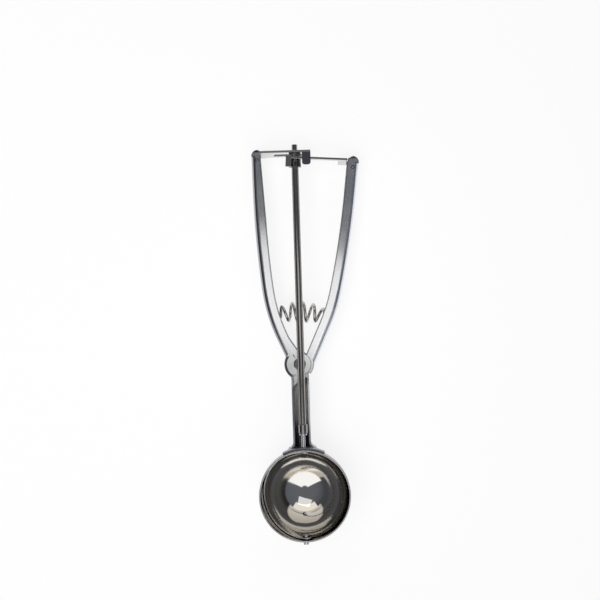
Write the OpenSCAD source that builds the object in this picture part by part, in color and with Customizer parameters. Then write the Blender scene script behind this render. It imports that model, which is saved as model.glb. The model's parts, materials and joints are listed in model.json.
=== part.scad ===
// Squeeze-handle ice cream scoop: a sheet-steel bowl with a sweeping blade, two sprung handles,
// and a rod whose pinion rolls between two racks. Millimetres.
// X is across the handles, Y runs along the rod from bowl to handle ends, Z leaves the bowl's mouth.
// The rod's axis is the Y axis, and the bowl's centre is the origin.

/* [Bowl] */
// Inside radius of the bowl
bowl_r = 25; // [22:0.5:28]
// Sheet of the bowl
bowl_sheet = 0.8; // [0.6:0.1:1.2]
// Straight lip in front of the blade's axis
bowl_lip = 5; // [4:0.5:7]

/* [Blade] */
// Width of the blade's hoop
blade_w = 6; // [4.5:0.5:8]
// Sheet of the blade
blade_sheet = 0.7; // [0.5:0.1:1]
// Clearance from the blade's edges to the bowl
blade_gap = 0.35; // [0.25:0.05:0.6]
// Angle of the blade at rest, below the axis on the left
blade_rest = 23; // [18:1:30]
// Angle that a full squeeze sweeps the blade through
blade_sweep = 144; // [120:2:150]
// Radius of the blade's stem and of its lower rivet
stem_r = 1.2; // [1:0.05:1.5]

/* [Handles] */
// Sheet of the handles and the neck
sheet = 1; // [0.8:0.1:1.2]
// Distance of the pivot from the bowl's centre
pivot_y = 73.5; // [68:0.5:80]
// Sideways place of the pivot and the neck
pivot_x = -0.7; // [-1.2:0.1:0.4]
// Width of a handle's channel, seen from the front
handle_w = 6.4; // [5.5:0.1:7]
// Width of the fixed handle's walls at their end
end_w = 4.9; // [4.8:0.1:5.4]
// Depth of the fixed handle's channel
handle_depth = 13; // [12:0.5:15]
// Radius of the palm edges
palm_r = 3; // [2.2:0.1:3.4]
// Outside radius of the hub round the pivot
hub_r = 8.8; // [8.2:0.1:9.6]
// Lean of the fixed handle where it leaves the hub
lean_low = 24; // [20:0.5:27]
// Lean of the moving handle where it leaves the hub
moving_lean = 18; // [17:0.5:19]
// Lean of a handle at the end of its lower bend
lean_mid = 6.5; // [5:0.5:8]
// Lean of a handle at its end
lean_top = 0.5; // [0:0.25:2]
// Radius of the lower bend
bend_low = 100; // [80:1:120]
// Radius of the long upper bend
bend_top = 560; // [450:10:700]
// Height over the pivot where the lower bend starts
bend_start = 14; // [11:0.5:17]
// Height over the pivot where the fixed handle's walls end
end_start = 119.4; // [114:0.2:124]
// Height over the pivot where the moving handle's walls end
moving_end_start = 117.6; // [112:0.2:121]
// Outside radius of the tongue that curls over a handle's end
curl_r = 3.6; // [3:0.1:4.5]
// Angle that the tongue turns through
curl_turn = 112; // [90:2:125]
// How much wider the moving handle stands open
open_angle = 6.5; // [4:0.25:8]
// Radius of the ears round the pivot
ear_r = 6.6; // [6:0.1:7]
// Length of the front ear's tail under the pivot
ear_tail = 13; // [11:0.5:16]
// Radius of the pivot rivet
rivet_r = 2; // [1.6:0.1:2.4]
// Radius of the pivot rivet's heads
rivet_head_r = 3.5; // [3:0.1:4]
// Height of the pivot rivet's heads
rivet_head_h = 1; // [0.7:0.1:1.1]

/* [Neck] */
// Outside width of the neck
neck_w = 10; // [8.5:0.5:11]
// Radius of the neck's back corners
neck_r = 4; // [3:0.25:4.5]
// Front edge of the neck's walls, against the rod's axis
neck_front = -1.5; // [-2.5:0.25:0.5]
// Distance from the pivot to the top of the neck's right wall
neck_cut = 9.6; // [9.6:0.1:11]
// Radius of the flare from neck to saddle
flare_r = 4; // [3:0.5:5]
// Half angle of the saddle that hugs the bowl
saddle_angle = 26.5; // [22:0.5:30]
// Edge of the saddle in front of the blade's axis
saddle_front = 2.6; // [2.2:0.1:3.6]
// Edge of the saddle behind the blade's axis
saddle_back = 9; // [7:0.5:12]

/* [Rod and pinion] */
// Radius of the rod
rod_r = 2; // [1.8:0.05:2.2]
// Distance from the bowl to the joint between the rod and the blade's stem
joint_rise = 11.6; // [9:0.2:14]
// Length of the sleeve at that joint
sleeve_l = 5; // [4:0.5:6]
// Wall of the sleeve
sleeve_wall = 0.65; // [0.5:0.05:0.9]
// Teeth of the pinion
pinion_teeth = 10; // [10:2:12]
// Module of the pinion and the racks
tooth_module = 0.6; // [0.55:0.01:0.64]
// Length of the pinion
pinion_l = 8.8; // [8.6:0.2:11]
// Lower end of the pinion
pinion_y = 185.4; // [182:0.2:186]
// Radius of the rod's end inside the pinion
rod_end_r = 1.65; // [1.4:0.05:1.7]
// Length of the rod's end past the pinion
rod_end_l = 3.9; // [1.5:0.1:5]

/* [Racks] */
// Sheet of the racks
rack_sheet = 1.2; // [1:0.1:1.4]
// Place of the rear rack, on the fixed handle
rear_rack_y = 193; // [192.8:0.1:193.3]
// Place of the front rack, on the moving handle
front_rack_y = 189.9; // [189:0.1:190.2]
// Tilt of the front rack while the handles are open
rack_tilt = 4; // [0:0.5:6]
// Width of a rack behind its teeth
rack_w = 3.3; // [2.8:0.1:3.8]
// Length of the guide that the rear rack folds round the front rack
guide_l = 4.8; // [3.5:0.1:5.4]
// Height of the guide's front wall
guide_h = 8.2; // [6:0.2:9]
// Radius of the guide's lower corners
guide_r = 1.6; // [0.5:0.1:2]
// Length of the tab at the front rack's end
tab_h = 4.8; // [3:0.2:5.4]
// Width of that tab
tab_w = 3; // [2:0.2:4]
// Radius of the pins that hold the racks
rack_pin_r = 0.9; // [0.7:0.05:1]
// Distance of those pins inside a handle's outer line
pin_in = 3.2; // [3:0.1:3.4]

/* [Spring] */
// Wire of the return spring
wire_d = 1.5; // [1.2:0.05:1.7]
// Outside diameter at the spring's middle
spring_d = 12.4; // [10:0.1:13]
// Outside diameter at the spring's ends
spring_end_d = 7.6; // [6.6:0.1:7.8]
// Curls of the spring
spring_curls = 4.9; // [4:0.1:6]
// Angle at which the first curl starts
spring_phase = 147; // [0:1:359]
// Lean of the handle where the spring sits
spring_lean = 16; // [13:0.5:19]
// Height of the seats inside the handles
seat_h = 2; // [1.5:0.1:3]

/* [Clearances] */
// Radial play of a turning fit
run_gap = 0.05; // [0.03:0.01:0.1]
// Gap between faces that slide past one another
slide_gap = 0.1; // [0.05:0.01:0.2]
// Gap between pieces that move near one another
free_gap = 0.3; // [0.2:0.05:0.5]

/* [Hidden] */
$fn = 72;
far = 400;
corner_steps = 8;
lap = 0.2;
lap_grow = 0.02;

// Bowl and blade
bowl_ro = bowl_r + bowl_sheet;
joint_y = bowl_ro + joint_rise;
blade_ro = sqrt(pow(bowl_r - blade_gap, 2) - pow(blade_w / 2, 2));
blade_ri = blade_ro - blade_sheet;
blade_nose = blade_w / 2 + 0.4;
saddle_ro = bowl_ro + sheet;
rivet_end = 2.3;
rivet_end_r = stem_r + 0.45;
clinch_h = 0.7;
clinch_r = stem_r + 0.7;

// Depths, from the rod's axis backwards
fixed_front = -(rod_r + rivet_head_h + 0.5);
fixed_back = fixed_front - handle_depth;
fixed_mid = (fixed_front + fixed_back) / 2;
moving_depth = handle_depth - 2 * (sheet + slide_gap);
moving_front = fixed_mid + moving_depth / 2;
moving_back = fixed_mid - moving_depth / 2;
hub_ri = hub_r - sheet;
hub_under = 62;
hub_over = 30;
moving_hub_under = 38;
ear_over = 45;
ear_flat = 0.95 * ear_r;
gusset_drop = 1.8;
tail_turn = 145;
neck_slant = 12;
flare_lap = 0.15;
rivet_step = 0.6;
spacer_wall = 0.8;
moving_bulge = 0.15;
moving_rise = 1.5;
taper_lean = 4.5;

// The handle's outer line, in its own frame: pivot at the origin, outside on +X
function along(a) = [sin(a), cos(a)];
function inward(a) = [-cos(a), sin(a)];
hub_line = 5.6;
hub_foot = hub_line * [cos(lean_low), -sin(lean_low)];
low_run = (bend_start - hub_foot[1]) / cos(lean_low);
hub_run = sqrt(pow(hub_r, 2) - pow(hub_line, 2)) - 0.6;
low_start = hub_foot + low_run * along(lean_low);
low_centre = low_start + bend_low * inward(lean_low);
mid_start = low_centre - bend_low * inward(lean_mid);
top_centre = mid_start + bend_top * inward(lean_mid);
top_start = top_centre - bend_top * inward(lean_top);
function end_run(height) = (height - top_start[1]) / cos(lean_top);
function end_point(height) = top_start + end_run(height) * along(lean_top);
function bend_point(lean) = low_centre - bend_low * inward(lean);
moving_line = bend_low + low_centre * along(moving_lean + 90);
moving_hub_r = moving_line + moving_bulge;
moving_run = bend_point(moving_lean) * along(moving_lean) - moving_rise;

// Racks and pinion
pitch = PI * tooth_module;
pitch_r = tooth_module * pinion_teeth / 2;
tooth_up = 0.85 * tooth_module;
tooth_down = 1.1 * tooth_module;
tooth_half = 0.2 * pitch;
flank_angle = 20;
tip_r = pitch_r + tooth_up;
root_r = pitch_r - tooth_down;
rack_root = pitch_r + tooth_down;
rack_back = rack_root + rack_w;
roll = pitch_r * blade_sweep * PI / 180;
rod_lean = asin(roll / (rear_rack_y - joint_y));

// The front rack in the frame of its handle: its distance from the pivot, and the place along it
// that meets the pinion while the handles are open and when they are closed
front_foot = [-pivot_x, front_rack_y - pivot_y];
front_way = [cos(rack_tilt), -sin(rack_tilt)];
front_up = [sin(rack_tilt), cos(rack_tilt)];
front_reach = front_foot * front_up;
open_mesh = front_foot * front_way;
closed_mesh = open_mesh + roll;
closed_x = -pivot_x - (pivot_y + front_reach - joint_y) * sin(rod_lean);
squeeze = rack_tilt + acos(closed_x / norm([closed_mesh, front_reach])) - atan2(front_reach, closed_mesh);

guide_x = tip_r + 0.5;
guide_end = guide_x + guide_l;
guide_z = rack_back + free_gap;
guide_front = guide_z + rack_sheet;
slot_end = -(roll + tip_r + 2 * free_gap);
eye_r = rack_pin_r + 0.6;
eye_drop = eye_r + 0.8;

// The pins that hold the racks, and the inner edges of the walls that the racks pass
rear_u = end_point(end_start)[0];
front_u = end_point(moving_end_start)[0];
rear_pin = [pivot_x - rear_u + pin_in, rear_rack_y - eye_drop];
fixed_edge = pivot_x - rear_u + end_w + free_gap;
eye_foot = front_foot - eye_drop * front_up;
eye_u = eye_foot * [cos(open_angle), -sin(open_angle)];
front_pin_l = (front_u - pin_in - eye_u) / cos(open_angle - rack_tilt);
front_pin = [pivot_x, pivot_y] + eye_foot + front_pin_l * front_way;
moving_edge = front_pin_l + pin_in - handle_w - 2 * free_gap;
arm_l = guide_end + front_reach * sin(squeeze) + 1;

// Rod
sleeve_ri = rod_r + run_gap;
sleeve_ro = sleeve_ri + sleeve_wall;
sleeve_bottom = joint_y - sleeve_l / 2;
rod_bottom = sleeve_bottom + 1;
fork_depth = 4.4;
tongue_half = 0.6;
tongue_w = 2.6;
tongue_play = 0.2;
fork_half = tongue_half + tongue_play;
shoulder_h = 0.8;
shoulder_r = stem_r + 1.1;

// The spring's axis is an arc, square to both seats
seat_lean = spring_lean + open_angle / 2;
seat_web = low_centre + (bend_low - sheet) * [cos(spring_lean), -sin(spring_lean)];
seat_face = seat_web + seat_h * inward(spring_lean);
seat_r = min(moving_depth / 2 - sheet - free_gap, spring_end_d / 2 + 0.2);
seat_foot_r = moving_depth / 2 - palm_r - slide_gap;
seat_flange = 0.45 * seat_h;
seat_x = seat_face[0] * cos(open_angle / 2) + seat_face[1] * sin(open_angle / 2);
seat_y = seat_face[1] * cos(open_angle / 2) - seat_face[0] * sin(open_angle / 2);
spring_bend = seat_x / sin(seat_lean);
spring_centre = seat_y - spring_bend * cos(seat_lean);
spring_run = 2 * spring_bend * seat_lean * PI / 180 - 2 * slide_gap;
spring_rings = 8;
spring_sides = 6;
stub_h = 1.6;

function spring_turn(s) = spring_phase + 360 * spring_curls * s;
function spring_radius(s) = (spring_end_d - wire_d) / 2
    + (spring_d - spring_end_d) / 2 * sin(180 * s);
// A place beside the spring's axis: run along it, radius from it, angle round it
function spring_place(run, r, turn) = let(
    a = -seat_lean + 180 / PI * (slide_gap + run) / spring_bend,
    out = r * cos(turn)
) [
    (spring_bend + out) * sin(a),
    spring_centre + (spring_bend + out) * cos(a),
    r * sin(turn),
];
spring_steps = ceil(spring_rings * spring_curls);
leg_turn = 360 / spring_rings;
spring_leg = wire_d + 0.7;
spring_body = spring_run - 2 * spring_leg;
spring_path = concat(
    [for (run = [0, wire_d]) spring_place(run, spring_radius(0), spring_turn(0) - leg_turn)],
    [for (i = [0:spring_steps]) let(s = i / spring_steps) spring_place(
        spring_leg + spring_body * s, spring_radius(s), spring_turn(s)
    )],
    [for (run = [spring_run - wire_d, spring_run])
        spring_place(run, spring_radius(1), spring_turn(1) + leg_turn)]
);
spring_gap = min([
    for (i = [0:len(spring_path) - 1], j = [0:len(spring_path) - 1])
        if (j - i > spring_rings / 2) norm(spring_path[i] - spring_path[j])
]) - wire_d;
echo(spring_gap = spring_gap, squeeze = squeeze, rod_lean = rod_lean, roll = roll);

// A round wire along a path of points
module wire(path, d, sides) {
    last = len(path) - 1;
    rings = [for (i = [0:last]) let(
        t = path[min(i + 1, last)] - path[max(i - 1, 0)],
        way = t / norm(t),
        side = cross(way, [0, 0, 1]),
        n = side / norm(side),
        b = cross(n, way)
    ) [for (k = [0:sides - 1]) path[i] + d / 2 * (cos(360 * k / sides) * n + sin(360 * k / sides) * b)]];
    points = concat([for (r = rings) each r], [path[0], path[last]]);
    skin = [for (i = [0:last - 1], k = [0:sides - 1]) let(
        a = i * sides + k,
        b = i * sides + (k + 1) % sides
    ) each [[a, b, b + sides], [a, b + sides, a + sides]]];
    low_cap = [for (k = [0:sides - 1]) [len(points) - 2, (k + 1) % sides, k]];
    top_cap = [for (k = [0:sides - 1]) [len(points) - 1, last * sides + k, last * sides + (k + 1) % sides]];
    polyhedron(points, concat(skin, low_cap, top_cap));
}

// A rod along Y
module y_rod(r, from, to) {
    translate([0, from, 0]) rotate([-90, 0, 0]) cylinder(r = r, h = to - from);
}

// A rod along Z
module z_rod(r, from, to) {
    translate([0, 0, from]) cylinder(r = r, h = to - from);
}

// A plate between two depths
module plate(from, to) {
    translate([0, 0, from]) linear_extrude(to - from) children();
}

// A sector of a disc, from one angle to another, under half a turn
module sector(r, from, to) {
    mid = (from + to) / 2;
    intersection() {
        circle(r);
        polygon([
            [0, 0], 2 * r * [cos(from), sin(from)],
            4 * r * [cos(mid), sin(mid)], 2 * r * [cos(to), sin(to)],
        ]);
    }
}

// Points of an arc
function arc(centre, r, from, to) = [
    for (i = [0:corner_steps]) centre + r * [
        cos(from + (to - from) * i / corner_steps),
        sin(from + (to - from) * i / corner_steps),
    ]
];

// Section of a channel: its web at x = 0, its walls towards -x, its sheet grown on both sides
module channel(d, grow) {
    r = palm_r;
    low = [-r, r - d / 2];
    high = [-r, d / 2 - r];
    edge = -handle_w - grow;
    polygon(concat(
        [[edge, -d / 2 - grow]],
        arc(low, r + grow, -90, 0),
        arc(high, r + grow, 0, 90),
        [[edge, d / 2 + grow], [edge, d / 2 - sheet - grow]],
        arc(high, r - sheet - grow, 90, 0),
        arc(low, r - sheet - grow, 0, -90),
        [[edge, sheet + grow - d / 2]]
    ));
}

// A length of channel along Y
module channel_run(d, from, to, grow = 0) {
    translate([0, from, 0]) rotate([90, 0, 0]) translate([0, 0, from - to]) linear_extrude(to - from)
        channel(d, grow);
}

// A bend of channel between two leans
module channel_bend(d, r, from, to, grow = 0) {
    rotate(-from) rotate_extrude(angle = from - to) translate([r, 0]) channel(d, grow);
}

// The tongue of a channel's web, curled over the handle's end
module curled_tongue(d) {
    half = d / 2 - palm_r;
    curl_lap = lap / curl_r * 180 / PI;
    translate([-curl_r, 0, 0]) rotate(-curl_lap) rotate_extrude(angle = curl_turn + curl_lap)
        translate([curl_r - sheet, -half]) square([sheet, 2 * half]);
}

// A handle's channel along its outer line, in its own frame. Every second length is a hair
// thicker and laps over its neighbours, so that all of them join
module handle_sweep(d, height, lean, run) {
    low_lap = lap / bend_low * 180 / PI;
    translate(bend_point(lean)) rotate(-lean) channel_run(d, -run, 0);
    translate(low_centre) channel_bend(d, bend_low, lean + low_lap, lean_mid - low_lap, lap_grow);
    translate(top_centre) channel_bend(d, bend_top, lean_mid, lean_top);
    translate(top_start) rotate(-lean_top) channel_run(d, -lap, end_run(height), lap_grow);
    translate(end_point(height)) rotate(-lean_top) {
        curled_tongue(d);
        for (z = [-d / 2, d / 2 - sheet]) plate(z, z + sheet) wall_end();
    }
}

// The end of a channel's wall, rounded beside the curled tongue
module wall_end() {
    translate([-curl_r, 0]) sector(curl_r, 0, 90);
    polygon([
        [-curl_r - lap, curl_r], [-handle_w, curl_r / 2], [-handle_w, -lap],
        [-palm_r - lap, -lap], [-curl_r + lap, curl_r / 2],
    ]);
}

// What the fixed handle's walls lose where they get narrower towards the end
module wall_taper() {
    low = top_centre - (bend_top - handle_w) * inward(taper_lean);
    high = end_point(end_start) + end_w * inward(lean_top);
    beyond = high + 0.2 * (high - low);
    polygon([low, beyond, beyond - [handle_w, 0], low - [handle_w, 0]]);
}

// The straight edge of an ear, from a handle's inner edge to the ear's round
module ear_gusset() {
    top = low_start - gusset_drop * along(lean_low) + handle_w * inward(lean_low);
    low = [0, ear_flat];
    root = hub_foot + (hub_run + 2 * sheet) * along(lean_low) + handle_w / 2 * inward(lean_low);
    polygon([top + (top - low) * sheet / norm(top - low), low, [0, 0], root]);
}

// The seat that holds one end of the spring, its stub inside the last curl
module spring_seat() {
    stub_r = spring_end_d / 2 - wire_d - free_gap;
    translate([seat_face[0], seat_face[1], fixed_mid]) rotate(180 - spring_lean) rotate([0, 90, 0]) {
        translate([0, 0, slide_gap - seat_h]) cylinder(r = seat_foot_r, h = seat_h - slide_gap);
        translate([0, 0, -seat_flange]) cylinder(r = seat_r, h = seat_flange);
        cylinder(r = stub_r, h = stub_h);
    }
}

module fixed_place() {
    translate([pivot_x, pivot_y, 0]) mirror([1, 0, 0]) children();
}

module moving_place() {
    translate([pivot_x, pivot_y, 0]) rotate(-open_angle) children();
}

module bowl() {
    color("silver") difference() {
        rotate_extrude() difference() {
            union() {
                intersection() {
                    circle(bowl_ro);
                    translate([0, -bowl_ro - 1]) square([bowl_ro + 1, bowl_ro + 1]);
                }
                square([bowl_ro, bowl_lip]);
            }
            intersection() {
                circle(bowl_r);
                translate([0, -bowl_r - 1]) square([bowl_r + 1, bowl_r + 1]);
            }
            square([bowl_r, bowl_lip + 1]);
        }
        y_rod(stem_r + run_gap, 0, bowl_ro + 1);
        y_rod(stem_r, -bowl_ro - 1, 0);
    }
}

module blade() {
    color("gainsboro") rotate([0, -blade_rest, 0]) difference() {
        intersection() {
            difference() {
                z_rod(blade_ro, -blade_w / 2, blade_w / 2);
                z_rod(blade_ri, -blade_w, blade_w);
            }
            union() {
                translate([-2 * bowl_r, -2 * bowl_r, -blade_w]) cube([2 * bowl_r, 4 * bowl_r, 2 * blade_w]);
                y_rod(blade_nose, -2 * bowl_r, 2 * bowl_r);
            }
        }
        y_rod(stem_r, 0, 2 * bowl_r);
        y_rod(stem_r + run_gap, -2 * bowl_r, 0);
    }
}

module blade_stem() {
    color("lightgray") {
        y_rod(stem_r, blade_ri, sleeve_bottom - free_gap);
        difference() {
            y_rod(clinch_r, blade_ri - clinch_h, blade_ri + blade_sheet);
            z_rod(blade_ri, -bowl_r, bowl_r);
        }
        y_rod(shoulder_r, sleeve_bottom - free_gap - shoulder_h, sleeve_bottom - free_gap);
        intersection() {
            y_rod(
                rod_r - tongue_play,
                sleeve_bottom - free_gap - shoulder_h, rod_bottom + fork_depth - 2 * free_gap
            );
            translate([-tongue_half, 0, -tongue_w / 2])
                cube([2 * tongue_half, rod_bottom + fork_depth, tongue_w]);
        }
    }
}

module blade_rivet() {
    color("darkgray") {
        y_rod(stem_r, -bowl_ro, -blade_ri + free_gap);
        y_rod(clinch_r, -blade_ri + free_gap, -blade_ri + free_gap + clinch_h);
        difference() {
            y_rod(rivet_end_r, -bowl_ro - rivet_end, -bowl_r);
            sphere(bowl_ro);
            z_rod(bowl_ro, 0, bowl_lip);
        }
    }
}

// Section of the neck: its back at y = 0, its walls towards +y
module neck_section() {
    r = neck_r;
    w = neck_w / 2;
    d = neck_front - fixed_back;
    polygon(concat(
        [[-w, d]],
        arc([r - w, r], r, 180, 270),
        arc([w - r, r], r, 270, 360),
        [[w, d], [w - sheet, d]],
        arc([w - r, r], r - sheet, 360, 270),
        arc([r - w, r], r - sheet, 270, 180),
        [[sheet - w, d]]
    ));
}

module neck() {
    top = pivot_y - neck_cut;
    left_top = pivot_y - sqrt(pow(hub_r, 2) - pow(neck_w / 2, 2)) + 1;
    low = bowl_r / 2;
    difference() {
        translate([pivot_x, left_top, fixed_back]) rotate([90, 0, 0]) linear_extrude(left_top - low)
            neck_section();
        // The right wall stops under the hub with a slanted edge
        translate([pivot_x, top, fixed_back + sheet]) rotate(neck_slant)
            translate([-neck_w / 2 + 2 * sheet, 0, 0]) cube([2 * neck_w, neck_cut + hub_r, far]);
        // The front of each wall gives way to its flare
        for (side = [-1, 1]) translate([pivot_x + side * neck_w / 2 - neck_w / 4, 0, -saddle_back])
            cube([neck_w / 2, flare_centre(side)[1], far]);
    }
}

// Centre of the flare that leads a wall of the neck into the saddle
function flare_centre(side) = let(
    x = pivot_x + side * (neck_w / 2 + flare_r),
    reach = saddle_ro + flare_r - flare_lap
) [x, sqrt(pow(reach, 2) - pow(x, 2))];

module flare(side) {
    centre = flare_centre(side);
    turn = atan2(abs(centre[1]), abs(centre[0]));
    foot = 0.8 * sheet;
    plate(-saddle_back, neck_front) {
        translate(centre) mirror([side < 0 ? 0 : 1, 0]) difference() {
            sector(flare_r + sheet, -turn, 0);
            circle(flare_r);
        }
        rotate(side < 0 ? 180 - turn : turn) translate([bowl_r - 2 * sheet, -foot])
            square([3 * sheet, 2 * foot]);
    }
}

module saddle() {
    rotate(90 - saddle_angle) rotate_extrude(angle = 2 * saddle_angle) {
        intersection() {
            difference() {
                circle(saddle_ro);
                circle(bowl_ro);
            }
            translate([0, -saddle_back]) square([saddle_ro + 1, saddle_back]);
        }
        translate([bowl_ro, 0]) square([sheet, saddle_front]);
    }
}

// The ears of the fixed handle: the front one tapers to a tail, the back one runs into the neck
module ear() {
    circle(ear_r);
    mirror([1, 0]) sector(hub_r, -hub_under, ear_over);
}

module front_ear() {
    ear();
    polygon([
        [-neck_w / 2, -ear_r], [-neck_w / 2, -ear_tail],
        [-neck_w / 2 + sheet, -ear_tail], ear_flat * along(tail_turn),
    ]);
}

module back_ear() {
    ear();
    translate([-neck_w / 2, -ear_tail]) square([neck_w, ear_tail - ear_r / 2]);
}

module fixed_handle() {
    color("lightsteelblue") difference() {
        union() {
            fixed_place() {
                difference() {
                    translate([0, 0, fixed_mid])
                        handle_sweep(handle_depth, end_start, lean_low, low_run - hub_run);
                    plate(fixed_back - 1, fixed_front + 1) wall_taper();
                }
                plate(fixed_back, fixed_front) difference() {
                    sector(hub_r, -hub_under, hub_over);
                    circle(hub_ri);
                }
            }
            translate([pivot_x, pivot_y, 0]) {
                plate(fixed_front - sheet, fixed_front) front_ear();
                plate(fixed_back, fixed_back + sheet) back_ear();
                for (z = [fixed_back, fixed_front - sheet]) plate(z + lap_grow, z + sheet - lap_grow)
                    mirror([1, 0]) ear_gusset();
            }
            difference() {
                union() {
                    neck();
                    for (side = [-1, 1]) flare(side);
                }
                sphere(bowl_ro + slide_gap);
            }
            saddle();
        }
        // The rivet's hole, the stem's bearing and the rack pin's hole
        translate([pivot_x, pivot_y, 0]) z_rod(rivet_r, fixed_back - 1, fixed_front + 1);
        y_rod(stem_r + run_gap, bowl_r, saddle_ro + flare_r);
        translate(rear_pin) z_rod(rack_pin_r, fixed_back - 1, fixed_front + 1);
    }
}

module moving_handle() {
    color("powderblue") difference() {
        union() {
            moving_place() {
                translate([0, 0, fixed_mid])
                    handle_sweep(moving_depth, moving_end_start, moving_lean, moving_run);
                plate(moving_back, moving_front) difference() {
                    sector(moving_hub_r, -moving_hub_under, 0);
                    circle(moving_hub_r - sheet);
                }
                for (z = [moving_back, moving_front - sheet])
                    plate(z + lap_grow, z + sheet - lap_grow) {
                        circle(ear_r);
                        sector(moving_hub_r, -moving_hub_under, ear_over);
                    }
            }
        }
        translate([pivot_x, pivot_y, 0]) z_rod(rivet_r + run_gap, fixed_back, fixed_front);
        translate(front_pin) z_rod(rack_pin_r, fixed_back, fixed_front);
    }
}

module pivot_rivet() {
    color("gray") translate([pivot_x, pivot_y, 0]) {
        z_rod(rivet_r, fixed_back, fixed_front);
        z_rod(rivet_head_r, fixed_front, fixed_front + 0.5 * rivet_head_h);
        z_rod(rivet_head_r - rivet_step, fixed_front, fixed_front + rivet_head_h);
        z_rod(rivet_head_r, fixed_back - 0.5 * rivet_head_h, fixed_back);
        z_rod(rivet_head_r - rivet_step, fixed_back - rivet_head_h, fixed_back);
    }
}

module pivot_spacer() {
    color("dimgray") translate([pivot_x, pivot_y, moving_back + sheet]) difference() {
        cylinder(r = rivet_r + run_gap + spacer_wall, h = moving_depth - 2 * sheet);
        translate([0, 0, -1]) cylinder(r = rivet_r + run_gap, h = handle_depth);
    }
}

module fixed_spring_seat() {
    color("darkgray") fixed_place() spring_seat();
}

module moving_spring_seat() {
    color("darkgray") moving_place() spring_seat();
}

module return_spring() {
    color("slategray") translate([pivot_x, pivot_y, fixed_mid]) rotate(-open_angle / 2)
        wire(spring_path, wire_d, spring_sides);
}

module drive_rod() {
    color("gainsboro") difference() {
        union() {
            y_rod(rod_r, rod_bottom, pinion_y);
            y_rod(rod_end_r, pinion_y, pinion_y + pinion_l + rod_end_l);
        }
        translate([-fork_half, rod_bottom - 1, -rod_r - 1])
            cube([2 * fork_half, fork_depth + 1, 2 * rod_r + 2]);
    }
}

// Half the outline of a tooth: base, pitch line and tip, each as half width and height
function tooth(base, half_base, mid, half_mid, tip, half_tip) = [
    [-half_base, base], [-half_mid, mid], [-half_tip, tip],
    [half_tip, tip], [half_mid, mid], [half_base, base],
];

function turned(points, a) = [
    for (p = points) [p[0] * cos(a) + p[1] * sin(a), p[1] * cos(a) - p[0] * sin(a)]
];

module pinion() {
    outline = tooth(root_r, 1.25 * tooth_half, pitch_r, tooth_half, tip_r, 0.5 * tooth_half);
    color("silver") difference() {
        translate([0, pinion_y, 0]) rotate([-90, 0, 0]) linear_extrude(pinion_l)
            polygon([for (i = [0:pinion_teeth - 1]) each turned(outline, 360 * i / pinion_teeth)]);
        y_rod(rod_end_r, pinion_y - 1, pinion_y + pinion_l + 1);
    }
}

module rod_sleeve() {
    color("white") difference() {
        y_rod(sleeve_ro, sleeve_bottom, sleeve_bottom + sleeve_l);
        y_rod(sleeve_ri, sleeve_bottom - 1, sleeve_bottom + sleeve_l + 1);
    }
}

// Teeth of a rack between two tooth numbers, rising from its root line towards y = 0
module rack_teeth(from, to) {
    flank = tan(flank_angle);
    for (i = [from:to]) translate([(i + 0.5) * pitch, 0])
        polygon(tooth(
            -rack_root - lap, tooth_half + flank * tooth_down,
            -pitch_r, tooth_half,
            -pitch_r + tooth_up, tooth_half - flank * tooth_up
        ));
}

// A flat piece of rack, square to Y, drawn in X and Z
module rack_plate() {
    rotate([90, 0, 0]) translate([0, 0, -rack_sheet / 2]) linear_extrude(rack_sheet) children();
}

// The tail of a rack: a leg turned down, with an eye for the pin. Its leg is on the side of -x
module rack_tail(back, front) {
    translate([0, -eye_drop, 0]) z_rod(eye_r, back, front);
    translate([-eye_r, -eye_drop, back]) cube([rack_sheet, eye_drop + rack_sheet / 2, front - back]);
}

module rear_rack() {
    tail_front = fixed_front - sheet - 2 * free_gap;
    tail_back = tail_front - rack_w;
    tail_x = rear_pin[0] - eye_r;
    color("whitesmoke") difference() {
        union() {
            translate([0, rear_rack_y, 0]) {
                rack_plate() {
                    // A slot for the pinion, with teeth along its back edge
                    difference() {
                        translate([fixed_edge, -rack_back])
                            square([guide_end - fixed_edge, rack_back + guide_front]);
                        translate([slot_end, -rack_root])
                            square([guide_x - slot_end, rack_root + guide_front - rack_w]);
                    }
                    translate([tail_x, tail_back]) square([fixed_edge - tail_x + rack_w, rack_w]);
                    rack_teeth(-ceil(roll / pitch) - 2, 1);
                }
                translate([rear_pin[0], 0, 0]) rack_tail(tail_back, tail_front);
            }
            translate([guide_x, rear_rack_y + rack_sheet / 2, guide_z]) guide_face();
        }
        translate(rear_pin) z_rod(rack_pin_r, -far / 2, far / 2);
    }
}

// The guide's front wall hangs from its top edge, with round lower corners
module guide_face() {
    linear_extrude(rack_sheet) polygon(concat(
        [[guide_l, 0], [0, 0]],
        arc([guide_r, guide_r - guide_h], guide_r, 180, 270),
        arc([guide_l - guide_r, guide_r - guide_h], guide_r, 270, 360)
    ));
}

module front_rack() {
    tail_front = moving_front - sheet - 2 * free_gap;
    tail_back = tail_front - rack_w;
    tab_x = -guide_x - 1;
    color("ivory") difference() {
        translate([0, front_rack_y, 0]) rotate(-rack_tilt) {
            rack_plate() {
                translate([tab_x, rack_root]) square([moving_edge - tab_x, rack_w]);
                translate([arm_l, tail_back]) square([moving_edge - arm_l, rack_back - tail_back]);
                translate([arm_l, tail_back]) square([front_pin_l + eye_r - arm_l, rack_w]);
                mirror([0, 1]) rack_teeth(-2, ceil(roll / pitch) + 1);
            }
            translate([tab_x, -rack_sheet / 2 - tab_h, rack_back - rack_sheet])
                cube([tab_w, tab_h + rack_sheet, rack_sheet]);
            translate([front_pin_l, 0, 0]) mirror([1, 0, 0]) rack_tail(tail_back, tail_front);
        }
        translate(front_pin) z_rod(rack_pin_r, -far / 2, far / 2);
    }
}

// A pin hammered flush with the walls that hold it
module rack_pin(at, back, front) {
    color("gray") translate(at) z_rod(rack_pin_r, back, front);
}

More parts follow.
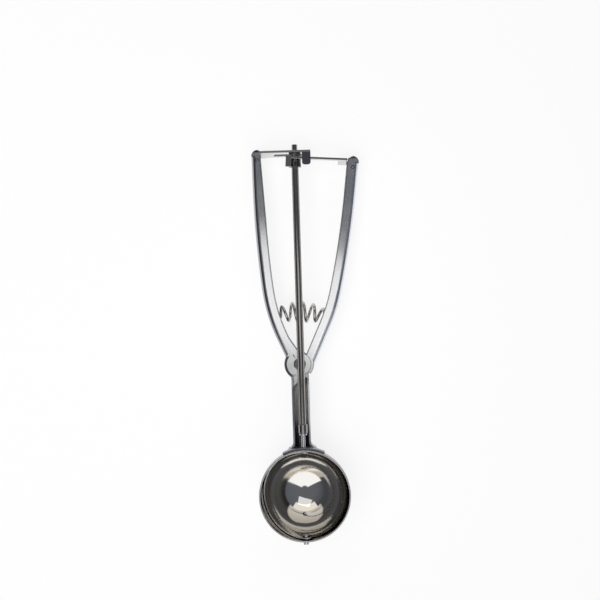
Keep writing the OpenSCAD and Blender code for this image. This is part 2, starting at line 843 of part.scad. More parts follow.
module rear_rack_pin() {
    rack_pin(rear_pin, fixed_back, fixed_front);
}

module front_rack_pin() {
    rack_pin(front_pin, moving_back, moving_front);
}

bowl();
blade();
blade_stem();
blade_rivet();
fixed_handle();
moving_handle();
pivot_rivet();
pivot_spacer();
return_spring();
fixed_spring_seat();
moving_spring_seat();
drive_rod();
pinion();
rod_sleeve();
rear_rack();
front_rack();
rear_rack_pin();
front_rack_pin();
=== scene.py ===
import json
import math

import bmesh
import bpy
from mathutils import Matrix, Vector


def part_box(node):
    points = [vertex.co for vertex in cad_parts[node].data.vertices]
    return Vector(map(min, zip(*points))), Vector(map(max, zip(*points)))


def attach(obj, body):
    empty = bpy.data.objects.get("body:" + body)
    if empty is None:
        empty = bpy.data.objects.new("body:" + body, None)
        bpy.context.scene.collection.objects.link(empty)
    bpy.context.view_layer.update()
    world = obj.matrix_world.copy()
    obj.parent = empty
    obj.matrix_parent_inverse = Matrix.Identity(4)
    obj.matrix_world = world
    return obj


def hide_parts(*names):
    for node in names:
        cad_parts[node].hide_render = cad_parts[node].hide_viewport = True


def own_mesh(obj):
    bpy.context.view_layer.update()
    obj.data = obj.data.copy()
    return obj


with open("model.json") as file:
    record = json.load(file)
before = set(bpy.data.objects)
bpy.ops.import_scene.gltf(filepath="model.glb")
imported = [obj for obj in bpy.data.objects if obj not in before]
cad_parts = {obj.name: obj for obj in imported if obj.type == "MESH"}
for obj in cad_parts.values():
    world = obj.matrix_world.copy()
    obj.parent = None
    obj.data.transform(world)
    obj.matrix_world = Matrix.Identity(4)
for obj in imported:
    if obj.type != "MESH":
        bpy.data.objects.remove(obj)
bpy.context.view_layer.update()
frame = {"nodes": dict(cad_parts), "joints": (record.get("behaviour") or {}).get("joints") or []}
nodes = frame["nodes"]
pivot = [Vector(joint["pos_m"]) for joint in frame["joints"] if joint["name"] == "squeeze"][0]
mm = 0.001  # all lengths in the dictionaries are in millimetres
print("frame loaded:", len(nodes), "nodes")


# Camera, at the height and the slight roll of the photograph
view = {"place": (0.54, 110.15, 455.0), "roll": 1.74, "lens": 48.2, "nearest": 10.0}
camera = bpy.data.objects.new("camera", bpy.data.cameras.new("camera"))
camera.data.lens = view["lens"]
camera.data.clip_start = view["nearest"] * mm
camera.location = Vector(view["place"]) * mm
camera.rotation_euler = (0, 0, -math.radians(view["roll"]))
bpy.context.scene.collection.objects.link(camera)
bpy.context.scene.camera = camera


def inMetres(lengths):
    return [length * mm for length in lengths]


# Small helpers for node trees
def addNode(tree, kind, **values):
    node = tree.nodes.new(kind)
    for name, value in values.items():
        setattr(node, name, value)
    return node


def plug(tree, source, target):
    if hasattr(source, "node"):
        tree.links.new(source, target)
    else:
        target.default_value = source


def sums(tree, operation, *values):
    node = addNode(tree, "ShaderNodeMath", operation=operation)
    for socket, value in zip(node.inputs, values):
        plug(tree, value, socket)
    return node.outputs[0]


def product(tree, first, second):
    return sums(tree, "MULTIPLY", first, second)


def distance(tree, first, second):
    squares = sums(tree, "ADD", product(tree, first, first), product(tree, second, second))
    return sums(tree, "SQRT", squares)


def weighed(tree, first, second, share):
    return sums(tree, "ADD", product(tree, first, share), product(tree, second, 1 - share))


def ramped(tree, value, low, high, toLow=0.0, toHigh=1.0):
    node = addNode(tree, "ShaderNodeMapRange", interpolation_type="SMOOTHSTEP")
    for socket, number in zip(node.inputs, (value, low, high, toLow, toHigh)):
        plug(tree, number, socket)
    return node.outputs[0]


def between(tree, value, rise, fall):
    return product(tree, ramped(tree, value, *rise), ramped(tree, value, *fall, 1.0, 0.0))


def mixed(tree, share, first, second):
    node = addNode(tree, "ShaderNodeMix", data_type="RGBA")
    plug(tree, share, node.inputs[0])
    plug(tree, first, node.inputs[6])
    plug(tree, second, node.inputs[7])
    return node.outputs[2]


def noise(tree, vector, scale, detail):
    node = addNode(tree, "ShaderNodeTexNoise")
    plug(tree, vector, node.inputs["Vector"])
    node.inputs["Scale"].default_value = scale
    node.inputs["Detail"].default_value = detail
    return node.outputs["Fac"]


def objectAxes(tree):
    split = addNode(tree, "ShaderNodeSeparateXYZ")
    plug(tree, addNode(tree, "ShaderNodeTexCoord").outputs["Object"], split.inputs[0])
    return split.outputs


def newGroup(name, inputs, outputs):
    tree = bpy.data.node_groups.new(name, "ShaderNodeTree")
    for socketName, kind, value in inputs:
        socket = tree.interface.new_socket(socketName, in_out="INPUT", socket_type=kind)
        socket.default_value = value
    for socketName, kind in outputs:
        tree.interface.new_socket(socketName, in_out="OUTPUT", socket_type=kind)
    return tree, addNode(tree, "NodeGroupInput"), addNode(tree, "NodeGroupOutput")


# Fine lines along one direction: the vector is scaled so that they run along its small axis
grainShape = {"scale": 1.0, "detail": 4.0}


def makeGrain(shape):
    tree, start, end = newGroup(
        "steelGrain", [("Stretch", "NodeSocketVector", (1.0, 1.0, 1.0))], [("Lines", "NodeSocketFloat")]
    )
    coord = addNode(tree, "ShaderNodeTexCoord").outputs["Object"]
    stretch = addNode(tree, "ShaderNodeVectorMath", operation="MULTIPLY")
    plug(tree, coord, stretch.inputs[0])
    plug(tree, start.outputs["Stretch"], stretch.inputs[1])
    plug(tree, noise(tree, stretch.outputs[0], shape["scale"], shape["detail"]), end.inputs["Lines"])
    return tree


# Soft smudges and a few rubbed places, as handling leaves them
markShape = {
    "spread": 0.14, "detail": 4.0, "rough": 0.6,
    "fine": 900.0, "fineDetail": 2.0, "rubFrom": (0.28, 0.42),
}


def makeMarks(shape):
    tree, start, end = newGroup(
        "handlingMarks",
        [("Size", "NodeSocketFloat", 60.0), ("Edge", "NodeSocketFloat", 0.5)],
        [("Smudge", "NodeSocketFloat"), ("Rub", "NodeSocketFloat")],
    )
    coord = addNode(tree, "ShaderNodeTexCoord").outputs["Object"]
    cloud = addNode(tree, "ShaderNodeTexNoise")
    plug(tree, coord, cloud.inputs["Vector"])
    plug(tree, start.outputs["Size"], cloud.inputs["Scale"])
    cloud.inputs["Detail"].default_value = shape["detail"]
    cloud.inputs["Roughness"].default_value = shape["rough"]
    low = sums(tree, "SUBTRACT", start.outputs["Edge"], shape["spread"])
    high = sums(tree, "ADD", start.outputs["Edge"], shape["spread"])
    plug(tree, ramped(tree, cloud.outputs["Fac"], low, high), end.inputs["Smudge"])
    fine = noise(tree, coord, shape["fine"], shape["fineDetail"])
    rub = product(tree, cloud.outputs["Fac"], fine)
    plug(tree, ramped(tree, rub, *shape["rubFrom"]), end.inputs["Rub"])
    return tree


# Rings round the bowl's axis, left by spinning the sheet
ringShape = {"scale": 1.0, "detail": 3.0, "tone": (0.3, 0.7)}


def makeRings(shape):
    tree, start, end = newGroup(
        "spunRings",
        [("Count", "NodeSocketFloat", 120.0)],
        [("Height", "NodeSocketFloat"), ("Tone", "NodeSocketFloat"), ("Turn", "NodeSocketFloat")],
    )
    x, y, z = objectAxes(tree)
    turn = sums(tree, "ARCTAN2", distance(tree, x, y), product(tree, z, -1.0))
    line = addNode(tree, "ShaderNodeTexNoise", noise_dimensions="1D")
    plug(tree, product(tree, turn, start.outputs["Count"]), line.inputs["W"])
    line.inputs["Scale"].default_value = shape["scale"]
    line.inputs["Detail"].default_value = shape["detail"]
    plug(tree, line.outputs["Fac"], end.inputs["Height"])
    plug(tree, ramped(tree, line.outputs["Fac"], *shape["tone"]), end.inputs["Tone"])
    plug(tree, turn, end.inputs["Turn"])
    return tree


# Faces that look to the front or the back keep their satin
def makeFlatFaces():
    tree, start, end = newGroup(
        "flatFaces",
        [("From", "NodeSocketFloat", 0.9), ("To", "NodeSocketFloat", 1.0)],
        [("Satin", "NodeSocketFloat")],
    )
    flat = addNode(tree, "ShaderNodeAttribute", attribute_name="flatness").outputs["Fac"]
    plug(tree, ramped(tree, flat, start.outputs["From"], start.outputs["To"]), end.inputs["Satin"])
    return tree


# A band along sharp edges: there the rounded normal leaves the face's own. The sheet finishes paint shade
# into it
edgeShape = {"samples": 8}


def makeSharpEdges(shape):
    tree, start, end = newGroup(
        "sharpEdges",
        [
            ("Radius", "NodeSocketFloat", mm),
            ("From", "NodeSocketFloat", 0.9), ("To", "NodeSocketFloat", 1.0),
        ],
        [("Edge", "NodeSocketFloat")],
    )
    rounded = addNode(tree, "ShaderNodeBevel", samples=shape["samples"])
    plug(tree, start.outputs["Radius"], rounded.inputs["Radius"])
    match = addNode(tree, "ShaderNodeVectorMath", operation="DOT_PRODUCT")
    plug(tree, rounded.outputs[0], match.inputs[0])
    plug(tree, addNode(tree, "ShaderNodeNewGeometry").outputs["Normal"], match.inputs[1])
    low, high = start.outputs["From"], start.outputs["To"]
    plug(tree, ramped(tree, match.outputs["Value"], low, high, 1.0, 0.0), end.inputs["Edge"])
    return tree


# The last stretch at the top of a handle or a rack: painted shade on the handles, a painted highlight on
# the rear rack
def makePaintedTopEnd():
    tree, start, end = newGroup(
        "paintedTopEnd",
        [("From", "NodeSocketFloat", 0.0), ("To", "NodeSocketFloat", mm)],
        [("Past", "NodeSocketFloat")],
    )
    along = objectAxes(tree)["Y"]
    plug(tree, ramped(tree, along, start.outputs["From"], start.outputs["To"]), end.inputs["Past"])
    return tree


steelGrain = makeGrain(grainShape)
handlingMarks = makeMarks(markShape)
spunRings = makeRings(ringShape)
flatFaces = makeFlatFaces()
sharpEdges = makeSharpEdges(edgeShape)
paintedTopEnd = makePaintedTopEnd()


def placeGroup(tree, group, **values):
    node = addNode(tree, "ShaderNodeGroup", node_tree=group)
    for name, value in values.items():
        node.inputs[name].default_value = value
    return node.outputs


def startMaterial(name):
    material = bpy.data.materials.new(name)
    material.use_nodes = True
    tree = material.node_tree
    shader = tree.nodes["Principled BSDF"]
    shader.inputs["Metallic"].default_value = 1.0
    return material, tree, shader


grainDepth = 0.02 * mm


def bumped(tree, shader, height, strength):
    bump = addNode(tree, "ShaderNodeBump")
    bump.inputs["Strength"].default_value = strength
    bump.inputs["Distance"].default_value = grainDepth
    plug(tree, height, bump.inputs["Height"])
    plug(tree, bump.outputs[0], shader.inputs["Normal"])


# Steel with lines along its length: rods, pins, wire and rounded edges. The handles' rounded edges get a
# dark steel that is painted shade
drawnMarks = {"size": 70.0, "edge": 0.52, "rub": 0.15, "smudge": 0.6, "bump": 0.1}


def makeDrawnSteel(name, look):
    material, tree, shader = startMaterial(name)
    grain = placeGroup(tree, steelGrain, Stretch=look["stretch"])
    mark = placeGroup(tree, handlingMarks, Size=drawnMarks["size"], Edge=drawnMarks["edge"])
    colour = mixed(tree, grain["Lines"], (*look["dark"], 1), (*look["light"], 1))
    rubbed = mixed(tree, product(tree, mark["Rub"], drawnMarks["rub"]), colour, (*look["dark"], 1))
    plug(tree, rubbed, shader.inputs["Base Color"])
    spread = weighed(tree, mark["Smudge"], grain["Lines"], drawnMarks["smudge"])
    plug(tree, ramped(tree, spread, 0.0, 1.0, *look["rough"]), shader.inputs["Roughness"])
    bumped(tree, shader, grain["Lines"], drawnMarks["bump"])
    return material


# Sheet: satin on the faces that look to the front or the back, burnished where it was bent. The satin tone
# is also a painted highlight on the handles and the blade, and painted shade on the rear rack
sheetMarks = {"size": 55.0, "edge": 0.52, "smudge": 0.06, "bump": 0.06, "endSoft": 0.4}


def reach(pair):
    return dict(zip(("From", "To"), pair))


def makeSheetSteel(name, look):
    material, tree, shader = startMaterial(name)
    grain = placeGroup(tree, steelGrain, Stretch=look["stretch"])
    mark = placeGroup(tree, handlingMarks, Size=sheetMarks["size"], Edge=sheetMarks["edge"])
    satin = placeGroup(tree, flatFaces, **reach(look["flatFrom"]))["Satin"]
    shade = mixed(tree, grain["Lines"], (*look["satinDark"], 1), (*look["satin"], 1))
    colour = mixed(tree, satin, (*look["bend"], 1), shade)
    rough = ramped(tree, satin, 0.0, 1.0, look["bendRough"], look["satinRough"])
    if "neck" in look:
        colour, rough = neckFinishAndShade(tree, look["neck"], colour, rough)
    if "edge" in look:
        # Painted shade: a dark band along sharp edges
        band = look["edge"]
        edges = placeGroup(tree, sharpEdges, Radius=band["radius"] * mm, **reach(band["match"]))
        colour = mixed(tree, edges["Edge"], colour, (*band["tone"], 1))
    if "end" in look:
        # Painted light at the top end: shade on the handles, a highlight on the rear rack
        start = look["end"] - sheetMarks["endSoft"] * mm
        top = placeGroup(tree, paintedTopEnd, **reach((start, look["end"])))
        colour = mixed(tree, top["Past"], colour, (*look["endPaintedLight"], 1))
    plug(tree, colour, shader.inputs["Base Color"])
    smudge = product(tree, mark["Smudge"], sheetMarks["smudge"])
    plug(tree, sums(tree, "ADD", rough, smudge), shader.inputs["Roughness"])
    bumped(tree, shader, grain["Lines"], sheetMarks["bump"])
    return material


# The hub's left edge is rolled over; a dark band round it is painted shade
def hubEdgeShade(tree, look, x, y):
    across = sums(tree, "SUBTRACT", pivot.x, x)
    along = sums(tree, "SUBTRACT", y, pivot.y)
    away = distance(tree, across, along)
    names = ("inner", "outer", "side", "top", "soft")
    inner, outer, side, top, soft = inMetres(look[name] for name in names)
    ring = between(tree, away, (inner, inner + soft), (outer, outer + soft))
    left = ramped(tree, across, side, side + soft)
    below = ramped(tree, along, top, top + soft, 1.0, 0.0)
    return product(tree, ring, product(tree, left, below))


# Below the hub the sheet is less polished, and its trough is satin; painted shade makes the saddle darker,
# and the faces outside the trough dark on the left and grey on the right
def neckFinishAndShade(tree, look, colour, rough):
    x, y = objectAxes(tree)[:2]
    inner = addNode(tree, "ShaderNodeAttribute", attribute_name="trough").outputs["Fac"]
    # Painted shade: the faces outside the trough are dark on the left and grey on the right
    right = ramped(tree, x, *inMetres(look["rightFrom"]))
    outer = mixed(tree, right, (*look["left"], 1), (*look["right"], 1))
    low = mixed(tree, inner, outer, (*look["trough"], 1))
    # Painted shade: the saddle is darker
    low = mixed(tree, ramped(tree, y, *inMetres(look["saddleTo"])), (*look["saddle"], 1), low)
    above = ramped(tree, y, *inMetres(look["neckTo"]))
    # Painted shade: a dark band round the hub's left edge
    rolled = look["rolled"]
    colour = mixed(tree, hubEdgeShade(tree, rolled, x, y), colour, (*rolled["tone"], 1))
    return mixed(tree, above, low, colour), ramped(tree, above, 0.0, 1.0, look["rough"], rough)


neckFinishAndShadeLook = {
    # left, right and saddle are painted shade tones; trough is the satin's own tone
    "trough": (0.94, 0.94, 0.93), "left": (0.12, 0.12, 0.15), "right": (0.46, 0.46, 0.45),
    "rightFrom": (-2.0, 2.0), "rough": 0.38,
    "saddle": (0.36, 0.36, 0.38), "saddleTo": (34.0, 42.0), "neckTo": (58.0, 66.0),
    "rolled": {
        "inner": 7.1, "outer": 9.3, "side": 4.2, "top": 4.4, "soft": 0.5, "tone": (0.09, 0.09, 0.11),
    },
}
edgeShadeBand = {"radius": 1.1, "match": (0.88, 0.985), "tone": (0.20, 0.20, 0.22)}


def belowTop(node, depth):
    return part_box(node)[1].y - depth * mm


# Painted highlight: the handles' satin faces are lighter than bare steel
handleLook = {
    "satin": (0.96, 0.95, 0.93), "satinDark": (0.88, 0.88, 0.88), "satinRough": 0.19,
    "flatFrom": (0.94, 0.99),
    "bend": (0.44, 0.44, 0.47), "bendRough": 0.18, "stretch": (6000, 160, 6000), "edge": edgeShadeBand,
}
fixedLook = dict(
    # Painted shade: the fixed handle's top end is dark
    handleLook, neck=neckFinishAndShadeLook, end=belowTop("fixed_handle", 1.2), endPaintedLight=(0.16, 0.16, 0.17)
)
movingLook = dict(
    # Painted reflection: the moving handle's bends are pale blue-grey, unlike the fixed handle's
    handleLook, bend=(0.74, 0.76, 0.82), bendRough=0.24,
    # Painted shade: the moving handle's top end is dark
    end=belowTop("moving_handle", 1.2), endPaintedLight=(0.22, 0.22, 0.24),
)
rackLook = {
    "satinRough": 0.12, "flatFrom": (0.94, 0.99),
    "bend": (0.52, 0.52, 0.52), "bendRough": 0.14, "stretch": (300, 2600, 2600),
}
# Painted shade: the rear rack's satin faces are darker than the front rack's
rearRackLook = dict(
    rackLook, satin=(0.34, 0.34, 0.36), satinDark=(0.27, 0.27, 0.28),
    # Painted highlight: the rear rack's top end is light
    end=belowTop("rear_rack", 0.9), endPaintedLight=(0.95, 0.93, 0.90),
)
frontRackLook = dict(rackLook, satin=(0.60, 0.60, 0.58), satinDark=(0.46, 0.46, 0.45))
# Painted highlight: the blade's satin faces are lighter than bare steel
bladeLook = {
    "satin": (0.97, 0.96, 0.94), "satinDark": (0.90, 0.90, 0.89), "satinRough": 0.50,
    "flatFrom": (0.45, 0.70),
    "bend": (0.62, 0.60, 0.57), "bendRough": 0.08, "stretch": (700, 700, 5200),
}
handleSteel = makeSheetSteel("satinHandleSteel", fixedLook)
movingSteel = makeSheetSteel("movingHandleSteel", movingLook)
bladeSteel = makeSheetSteel("sweepBladeSteel", bladeLook)
rearRackSteel = makeSheetSteel("rearRackSteel", rearRackLook)
frontRackSteel = makeSheetSteel("frontRackSteel", frontRackLook)

# Painted shade: the dark steel of the handles' rounded edges
edgeShadeLook = {
    "light": (0.34, 0.34, 0.36), "dark": (0.24, 0.24, 0.25),
    "rough": (0.22, 0.30), "stretch": (900, 900, 900),
}
rodLook = {
    "light": (0.46, 0.44, 0.41), "dark": (0.30, 0.28, 0.27),
    "rough": (0.12, 0.20), "stretch": (5200, 60, 5200),
}
turnedLook = {
    "light": (0.80, 0.80, 0.80), "dark": (0.60, 0.60, 0.61),
    "rough": (0.18, 0.30), "stretch": (3000, 3000, 900),
}
pinionLook = {
    "light": (0.36, 0.34, 0.32), "dark": (0.22, 0.21, 0.20),
    "rough": (0.16, 0.24), "stretch": (2600, 300, 2600),
}
wireLook = {
    "light": (0.62, 0.61, 0.60), "dark": (0.40, 0.39, 0.39),
    "rough": (0.16, 0.26), "stretch": (1500, 1500, 1500),
}
edgeShadeSteel = makeDrawnSteel("paintedEdgeShadeSteel", edgeShadeLook)
rodSteel = makeDrawnSteel("drawnRodSteel", rodLook)
turnedSteel = makeDrawnSteel("turnedSteel", turnedLook)
pinionSteel = makeDrawnSteel("cutPinionSteel", pinionLook)
springWire = makeDrawnSteel("springWire", wireLook)


# The bowl's sheet: painted bright at its pole as a highlight, and painted darker as shade where the wall
# stands up
bowlMarks = {
    "rings": 150.0, "size": 45.0, "edge": 0.55, "wallFrom": (0.62, 0.95),
    "worn": (0.3, 0.29, 0.27), "wear": 0.14, "smudge": 0.7, "bump": 0.12,
}


def makeBowlSteel(name, look):
    material, tree, shader = startMaterial(name)
    ring = placeGroup(tree, spunRings, Count=bowlMarks["rings"])
    mark = placeGroup(tree, handlingMarks, Size=bowlMarks["size"], Edge=bowlMarks["edge"])
    wallShade = ramped(tree, ring["Turn"], *bowlMarks["wallFrom"])
    colour = mixed(tree, wallShade, (*look["pole"], 1), (*look["wall"], 1))
    worn = mixed(tree, product(tree, ring["Tone"], bowlMarks["wear"]), colour, (*bowlMarks["worn"], 1))
    plug(tree, worn, shader.inputs["Base Color"])
    spread = weighed(tree, mark["Smudge"], ring["Tone"], bowlMarks["smudge"])
    plug(tree, ramped(tree, spread, 0.0, 1.0, *look["rough"]), shader.inputs["Roughness"])
    bumped(tree, shader, ring["Height"], bowlMarks["bump"])
    return material


# Painted shade: the outside is darker than the inside
outsideLook = {"pole": (0.62, 0.61, 0.61), "wall": (0.36, 0.36, 0.38), "rough": (0.24, 0.34)}
insideLook = {"pole": (0.84, 0.82, 0.79), "wall": (0.60, 0.57, 0.52), "rough": (0.04, 0.11)}
bowlSteel = makeBowlSteel("mirrorBowlSteel", outsideLook)
bowlInsideSteel = makeBowlSteel("bowlInsideSteel", insideLook)
print("finishes made:", len(bpy.data.materials))


# Pieces
def shadeSmooth(bm, creaseAngle):
    limit = math.radians(creaseAngle)
    for face in bm.faces:
        face.smooth = True
    for edge in bm.edges:
        if len(edge.link_faces) == 2:
            edge.smooth = edge.calc_face_angle() < limit


def placePiece(name, bm, body, slotName, finishes, *stands):
    mesh = bpy.data.meshes.new(name)
    bm.to_mesh(mesh)
    bm.free()
    for finish in finishes:
        mesh.materials.append(finish)
    piece = bpy.data.objects.new(name, mesh)
    bpy.context.scene.collection.objects.link(piece)
    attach(piece, body)
    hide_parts(*stands)
    return piece


# A merged copy of a node's mesh, for smooth shading and softened edges
copyShape = {"weld": 0.001, "flat": 0.2, "sharp": 30}


def copyOfNode(node, shape):
    bm = bmesh.new()
    bm.from_mesh(nodes[node].data)
    bmesh.ops.remove_doubles(bm, verts=bm.verts, dist=shape["weld"] * mm)
    bmesh.ops.dissolve_limit(
        bm, angle_limit=math.radians(shape["flat"]), use_dissolve_boundaries=False,
        verts=bm.verts, edges=bm.edges, delimit=set(),
    )
    shadeSmooth(bm, shape["sharp"])
    return bm


edgeRounding = {"faceWeight": 90, "segments": 3, "sharper": 38, "profile": 0.5}


# Flat faces keep their own normals beside rounded edges
def keepFlats(piece):
    normals = piece.modifiers.new("flatFaces", "WEIGHTED_NORMAL")
    normals.keep_sharp = True
    normals.weight = edgeRounding["faceWeight"]


# The rounding takes the piece's last finish; on the handles that is a dark steel, painted shade on their
# rounded edges
def softenEdges(piece, width):
    bevel = piece.modifiers.new("softEdges", "BEVEL")
    bevel.material = len(piece.data.materials) - 1
    bevel.width = width * mm
    bevel.segments = edgeRounding["segments"]
    bevel.limit_method = "ANGLE"
    bevel.angle_limit = math.radians(edgeRounding["sharper"])
    bevel.profile = edgeRounding["profile"]
    bevel.harden_normals = True
    keepFlats(piece)


# How far each face looks to the front or the back, and whether it is in the neck's trough
def markFlats(bm):
    flatness = bm.faces.layers.float.new("flatness")
    trough = bm.faces.layers.float.new("trough")
    backward = -0.1
    for face in bm.faces:
        face[flatness] = abs(face.normal.z)
        looksIn = face.normal.x * face.calc_center_median().x < 0
        face[trough] = float(looksIn and face.normal.z > backward)


# For each node: the piece's name, its body, its slot, its finishes and the width of its rounded edges in mm
sheetPieces = {
    "fixed_handle": ("leftHandleBody", "frame", "polished_steel", [handleSteel, edgeShadeSteel], 0.42),
    "moving_handle": (
        "rightHandleBody", "squeeze_handle", "polished_steel", [movingSteel, edgeShadeSteel], 0.42
    ),
    "blade": ("sweepBlade", "blade", "polished_steel", [bladeSteel], 0.3),
    "rear_rack": ("rearRackBar", "frame", "stamped_steel", [rearRackSteel], 0.25),
    "front_rack": ("frontRackBar", "squeeze_handle", "stamped_steel", [frontRackSteel], 0.25),
    "pinion": ("pinionWheel", "rod", "turned_steel", [pinionSteel], 0.08),
    "blade_stem": ("bladeStemPin", "blade", "turned_steel", [turnedSteel], 0.1),
    "blade_rivet": ("bladeRivetPin", "frame", "turned_steel", [turnedSteel], 0.2),
    "drive_rod": ("driveRodBar", "rod", "polished_steel", [rodSteel], 0.2),
    "rod_sleeve": ("rodSleeveTube", "sleeve", "turned_steel", [rodSteel], 0.2),
    "pivot_rivet": ("pivotRivetPin", "frame", "turned_steel", [pinionSteel], 0.3),
    "pivot_spacer": ("pivotSpacerTube", "squeeze_handle", "turned_steel", [turnedSteel], 0.1),
    "fixed_spring_seat": ("leftSpringSeat", "frame", "turned_steel", [turnedSteel], 0.15),
    "moving_spring_seat": ("rightSpringSeat", "squeeze_handle", "turned_steel", [turnedSteel], 0.15),
    "rear_rack_pin": ("rearRackPin", "frame", "turned_steel", [handleSteel], 0.08),
    "front_rack_pin": ("frontRackPin", "squeeze_handle", "turned_steel", [handleSteel], 0.08),
}
for node, (name, body, slotName, finishes, width) in sheetPieces.items():
    bm = copyOfNode(node, copyShape)
    markFlats(bm)
    piece = placePiece(name, bm, body, slotName, finishes, node)
    softenEdges(piece, width)
print("sheet and turned pieces placed:", len(sheetPieces))


# The bowl is spun from one profile: outside from its pole to the rim, and back inside
bowlShape = {
    "sheet": 0.8, "steps": 160, "arcSteps": 40, "weld": 0.002,
    "rimBand": 0.01, "rimRound": 0.15, "rimSteps": 4, "sharp": 60,
}


def makeBowl(shape):
    bottom, top = (corner.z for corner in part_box("bowl"))
    lip = Vector((0, 0, top))
    bm = bmesh.new()
    ends = []
    for radius in (-bottom, -bottom - shape["sheet"] * mm):
        pole = bm.verts.new((0, 0, -radius))
        swept = bmesh.ops.spin(
            bm, geom=[pole], cent=(0, 0, 0), axis=(0, -1, 0), angle=math.pi / 2, steps=shape["arcSteps"]
        )
        side = [part for part in swept["geom_last"] if isinstance(part, bmesh.types.BMVert)][0]
        raised = bmesh.ops.extrude_vert_indiv(bm, verts=[side])["verts"][0]
        bmesh.ops.translate(bm, verts=[raised], vec=lip)
        ends.append(raised)
    bm.edges.new(ends)
    bmesh.ops.spin(
        bm, geom=bm.verts[:] + bm.edges[:], cent=(0, 0, 0), axis=(0, 0, 1),
        angle=2 * math.pi, steps=shape["steps"], use_merge=True,
    )
    bmesh.ops.remove_doubles(bm, verts=bm.verts, dist=shape["weld"] * mm)
    bmesh.ops.recalc_face_normals(bm, faces=bm.faces)
    low = top - shape["rimBand"] * mm
    rim = [edge for edge in bm.edges if all(v.co.z > low for v in edge.verts)]
    corners = [edge for edge in rim if edge.calc_face_angle(0) > math.radians(shape["sharp"])]
    bmesh.ops.bevel(
        bm, geom=corners, offset=shape["rimRound"] * mm, offset_type="OFFSET",
        segments=shape["rimSteps"], profile=0.5, affect="EDGES", material=-1, clamp_overlap=True,
    )
    for face in bm.faces:
        face.material_index = int(face.normal.dot(face.calc_center_median()) < 0)
    shadeSmooth(bm, shape["sharp"])
    return bm


bowlShell = placePiece(
    "bowlShell", makeBowl(bowlShape), "frame", "polished_steel", [bowlSteel, bowlInsideSteel], "bowl"
)
keepFlats(bowlShell)
print("bowl spun")


# The spring follows an arc between its seats, wider at its middle, with a short leg at each end
spring = {
    "turn": 3.25, "bend": 47.96, "halfAngle": 19.25, "centre": -18.194, "seatGap": 0.1,
    "leg": 2.2, "legTurn": 45.0, "curls": 4.9, "phase": 147.0,
    "wire": 1.7, "middle": 12.8, "ends": 8.0, "steps": 220, "round": 4, "weld": 0.002, "sharp": 50,
    "axis": (0.8673, -0.4977, 0), "anchor": (-14.95, 101.44, -10.0), "keep": 0.8577,
}


def springPoint(shape, share):
    whole = 2 * (shape["bend"] * math.radians(shape["halfAngle"]) - shape["seatGap"])
    run = whole * share
    body = min(max((run - shape["leg"]) / (whole - 2 * shape["leg"]), 0.0), 1.0)
    past = min(run, shape["leg"]) - shape["leg"] + max(run - whole + shape["leg"], 0)
    legTurn = shape["legTurn"] * past / shape["leg"]
    turn = math.radians(shape["phase"] + 360 * shape["curls"] * body + legTurn)
    wide = (shape["middle"] - shape["ends"]) / 2 * math.sin(math.pi * body)
    radius = (shape["ends"] - shape["wire"]) / 2 + wide
    angle = (run + shape["seatGap"]) / shape["bend"] - math.radians(shape["halfAngle"])
    out = shape["bend"] + radius * math.cos(turn)
    return Vector((out * math.sin(angle), shape["centre"] + out * math.cos(angle), radius * math.sin(turn)))


def makeSpring(shape):
    curve = bpy.data.curves.new("springLine", "CURVE")
    curve.dimensions = "3D"
    curve.bevel_depth = shape["wire"] / 2 * mm
    curve.bevel_resolution = shape["round"]
    curve.use_fill_caps = True
    line = curve.splines.new("POLY")
    line.points.add(shape["steps"])
    turned = Matrix.Rotation(-math.radians(shape["turn"]), 3, "Z")
    for index, point in enumerate(line.points):
        place = turned @ springPoint(shape, index / shape["steps"])
        point.co = (*(pivot + place * mm), 1)
    holder = bpy.data.objects.new("springLine", curve)
    bm = bmesh.new()
    bm.from_mesh(bpy.data.meshes.new_from_object(holder))
    bpy.data.objects.remove(holder)
    bmesh.ops.remove_doubles(bm, verts=bm.verts, dist=shape["weld"] * mm)
    bmesh.ops.recalc_face_normals(bm, faces=bm.faces)
    shadeSmooth(bm, shape["sharp"])
    return bm


springCoil = placePiece(
    "springCoil", makeSpring(spring), "frame", "spring_wire", [springWire], "return_spring"
)
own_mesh(springCoil)
print("spring wound")


# Floor, tangent to the bowl and to the back of the left handle's end
def floorTilt():
    bowlDown = -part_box("bowl")[0].z
    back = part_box("rear_rack_pin")[0].z
    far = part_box("fixed_handle")[1].y
    return math.atan2(back, far) + math.asin(bowlDown / math.hypot(back, far)), bowlDown


floorLook = {"half": 40000.0, "gap": 0.05, "white": 0.92, "rough": 0.9, "glow": 0.8}


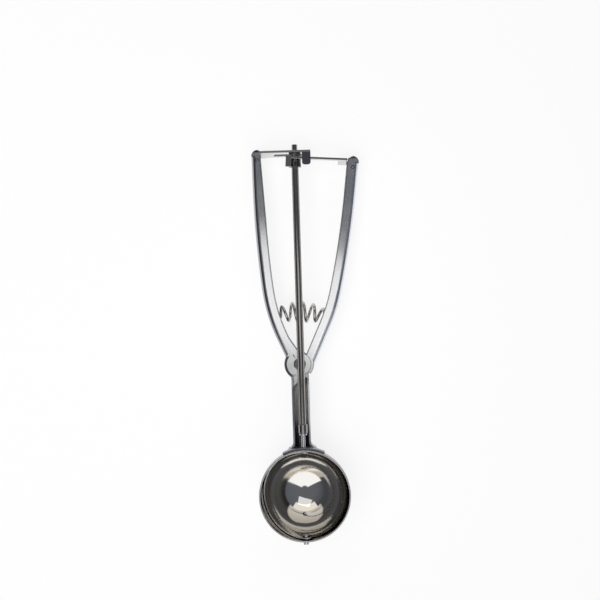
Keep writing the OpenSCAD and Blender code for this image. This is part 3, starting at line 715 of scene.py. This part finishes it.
def makeFloor(look):
    tilt, drop = floorTilt()
    bm = bmesh.new()
    bmesh.ops.create_grid(bm, x_segments=1, y_segments=1, size=look["half"] * mm)
    bmesh.ops.translate(bm, verts=bm.verts, vec=(0, 0, -drop - look["gap"] * mm))
    bmesh.ops.rotate(bm, verts=bm.verts, cent=(0, 0, 0), matrix=Matrix.Rotation(tilt, 3, "X"))
    mesh = bpy.data.meshes.new("floor")
    bm.to_mesh(mesh)
    bm.free()
    material = bpy.data.materials.new("paleFloor")
    material.use_nodes = True
    tree = material.node_tree
    shader = tree.nodes["Principled BSDF"]
    shader.inputs["Base Color"].default_value = (look["white"], look["white"], look["white"], 1)
    shader.inputs["Roughness"].default_value = look["rough"]
    glow = addNode(tree, "ShaderNodeEmission")
    path = addNode(tree, "ShaderNodeLightPath")
    seen = sums(tree, "MAXIMUM", path.outputs["Is Camera Ray"], path.outputs["Is Glossy Ray"])
    seen = sums(tree, "MAXIMUM", seen, path.outputs["Is Transmission Ray"])
    blend = addNode(tree, "ShaderNodeMixShader")
    plug(tree, product(tree, seen, look["glow"]), blend.inputs[0])
    plug(tree, shader.outputs[0], blend.inputs[1])
    plug(tree, glow.outputs[0], blend.inputs[2])
    plug(tree, blend.outputs[0], tree.nodes["Material Output"].inputs["Surface"])
    mesh.materials.append(material)
    floor = bpy.data.objects.new("floor", mesh)
    bpy.context.scene.collection.objects.link(floor)


makeFloor(floorLook)


# Studio: a soft box beyond the bowl, a warm one past the handles, a cool top, dark sides and a pale horizon
studio = {
    "key": (1.15, 1.15, 1.15), "keyRise": (0.42, 0.48), "keyFall": (0.98, 0.992), "keyNarrow": 0.55,
    "fill": (0.96, 0.90, 0.80), "fillRise": (0.26, 0.32), "fillFall": (0.74, 0.78), "fillNarrow": 1.2,
    "boxEdge": (0.0, 0.04), "top": (0.13, 0.138, 0.155), "topFrom": (0.3, 0.95),
    "left": (0.02, 0.018, 0.016), "right": (0.09, 0.11, 0.145), "rightFrom": (-0.05, 0.3),
    "rim": (0.86, 0.85, 0.84), "rimTo": (0.08, 0.13),
}


def makeStudio(look):
    world = bpy.data.worlds.new("studio")
    bpy.context.scene.world = world
    world.use_nodes = True
    tree = world.node_tree
    split = addNode(tree, "ShaderNodeSeparateXYZ")
    plug(tree, addNode(tree, "ShaderNodeTexCoord").outputs["Generated"], split.inputs[0])
    x, y, z = split.outputs
    wide = sums(tree, "ABSOLUTE", x)
    sides = mixed(tree, ramped(tree, x, *look["rightFrom"]), (*look["left"], 1), (*look["right"], 1))
    base = mixed(tree, ramped(tree, z, *look["topFrom"]), sides, (*look["top"], 1))
    base = mixed(tree, ramped(tree, z, *look["rimTo"]), (*look["rim"], 1), base)
    near = sums(tree, "SUBTRACT", product(tree, y, -1.0), product(tree, wide, look["keyNarrow"]))
    keyHigh = between(tree, z, look["keyRise"], look["keyFall"])
    keyShare = product(tree, ramped(tree, near, *look["boxEdge"]), keyHigh)
    base = mixed(tree, keyShare, base, (*look["key"], 1))
    far = sums(tree, "SUBTRACT", y, product(tree, wide, look["fillNarrow"]))
    fillHigh = between(tree, z, look["fillRise"], look["fillFall"])
    fillShare = product(tree, ramped(tree, far, *look["boxEdge"]), fillHigh)
    base = mixed(tree, fillShare, base, (*look["fill"], 1))
    plug(tree, base, tree.nodes["Background"].inputs["Color"])


makeStudio(studio)

lamps = {
    "floorSoftBox": {
        "place": (-250.0, 0.0, 900.0), "size": (700.0, 700.0), "power": 6.0,
        "turn": 0.0, "mirrored": False,
    },
    "handleSoftBox": {
        "place": (5.0, 109.0, 150.0), "size": (120.0, 84.0), "power": 0.0235,
        "turn": -18.0, "mirrored": True,
    },
}


def addLamp(name, look):
    lamp = bpy.data.objects.new(name, bpy.data.lights.new(name, "AREA"))
    lamp.data.shape = "RECTANGLE"
    lamp.data.size, lamp.data.size_y = inMetres(look["size"])
    lamp.data.energy = look["power"]
    lamp.location = inMetres(look["place"])
    lamp.rotation_euler = (0, 0, math.radians(look["turn"]))
    bpy.context.scene.collection.objects.link(lamp)
    lamp.visible_camera = False
    lamp.visible_glossy = look["mirrored"]


for name, look in lamps.items():
    addLamp(name, look)
print("stage and studio set")

bpy.context.scene.view_settings.view_transform = "Standard"
